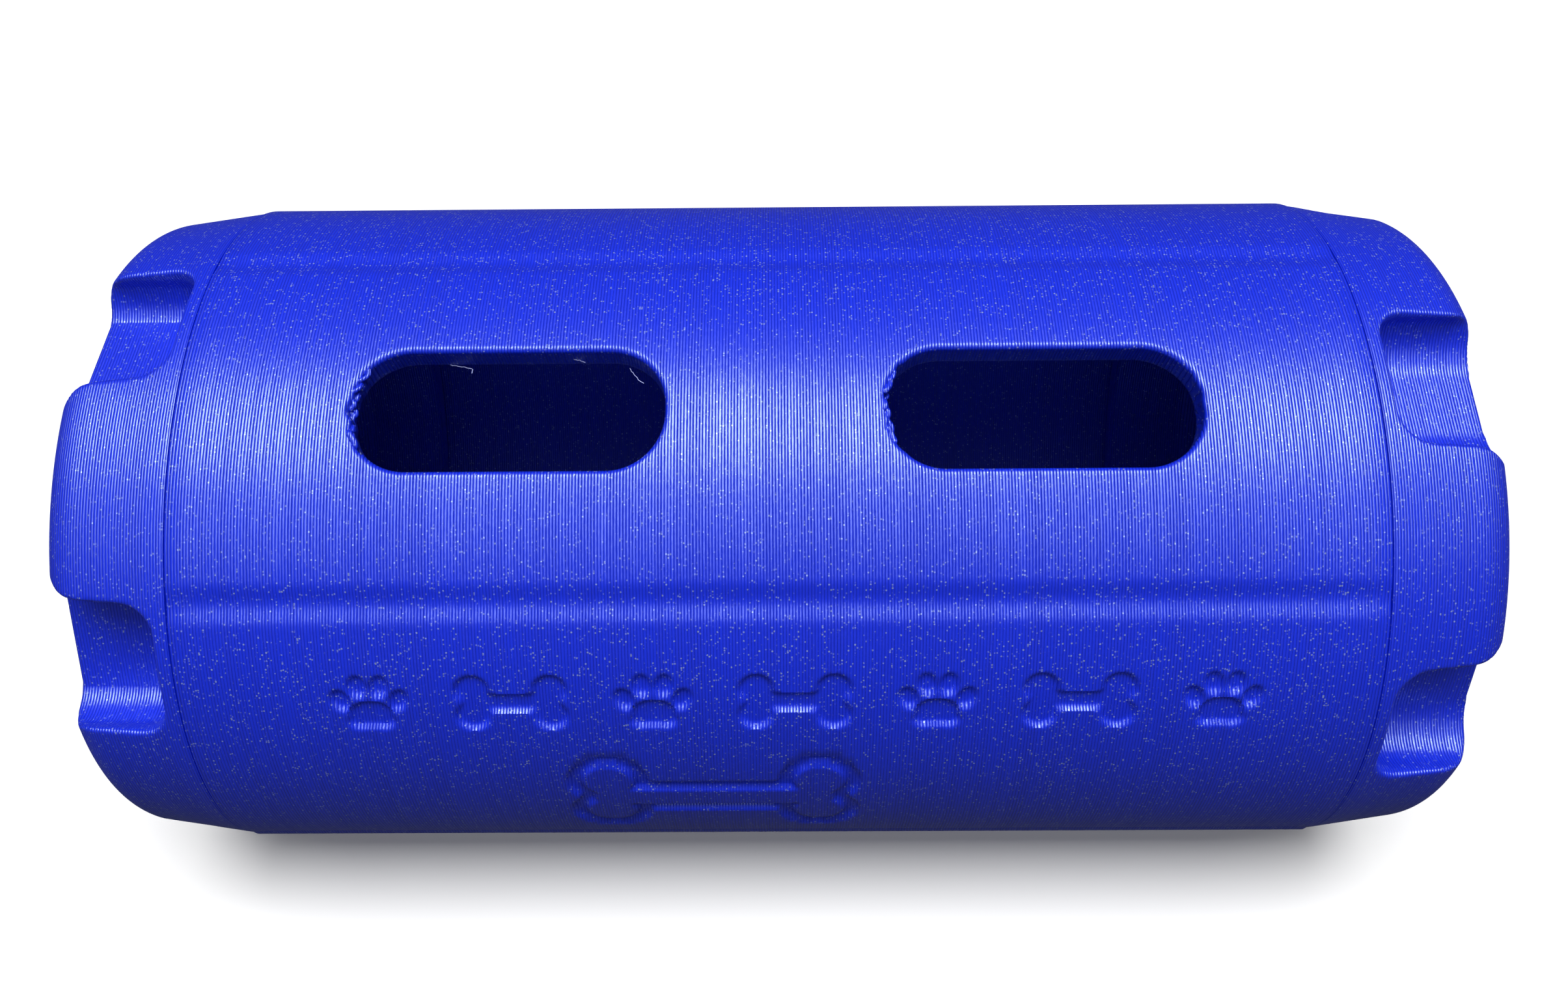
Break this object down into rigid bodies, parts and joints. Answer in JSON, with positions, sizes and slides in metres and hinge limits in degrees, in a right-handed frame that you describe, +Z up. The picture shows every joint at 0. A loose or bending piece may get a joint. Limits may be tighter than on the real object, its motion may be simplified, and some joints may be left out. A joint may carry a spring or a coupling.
{
  "type": "treat dispensing tumbler",
  "caption": "Cylindrical printed treat tumbler on its side: long tube with slots and shallow grooves, closed by notched screw caps at each end.",
  "frame": {"origin": "under the middle of the tumbler as it lies on its side, on the surface it lies on", "axes": "+X along the tube, from the left cap to the right cap; +Z up; -Y is the front, which the slots lean towards"},
  "size_m": [0.1324, 0.067, 0.0669],
  "materials": {
    "printed_blue": "silky royal blue printed plastic with fine glitter and visible layer lines"
  },
  "bodies": {
    "tube": {"body_tube": "printed_blue"},
    "left_travel": {"left_end_disc": "printed_blue"},
    "left_screw": {"left_cap": "printed_blue"},
    "right_travel": {"right_end_disc": "printed_blue"},
    "right_screw": {"right_cap": "printed_blue"}
  },
  "joints": [
    {"name": "left_cap_travel", "type": "slide", "parent": "tube", "child": "left_travel", "axis": [-1, 0, 0], "range_m": [0, 0.01294]},
    {"name": "left_cap_turn", "type": "hinge", "parent": "left_travel", "child": "left_screw", "pos_m": [-0.06, 0, 0.03344], "axis": [-1, 0, 0], "range_deg": [0, 1036]},
    {"name": "right_cap_travel", "type": "slide", "parent": "tube", "child": "right_travel", "axis": [1, 0, 0], "range_m": [0, 0.01294]},
    {"name": "right_cap_turn", "type": "hinge", "parent": "right_travel", "child": "right_screw", "pos_m": [0.06, 0, 0.03344], "axis": [1, 0, 0], "range_deg": [0, 1036]}
  ],
  "couplings": [
    {"joint": "left_cap_turn", "follows": "left_cap_travel", "rad_per_m": 1396.3},
    {"joint": "right_cap_turn", "follows": "right_cap_travel", "rad_per_m": 1396.3}
  ]
}
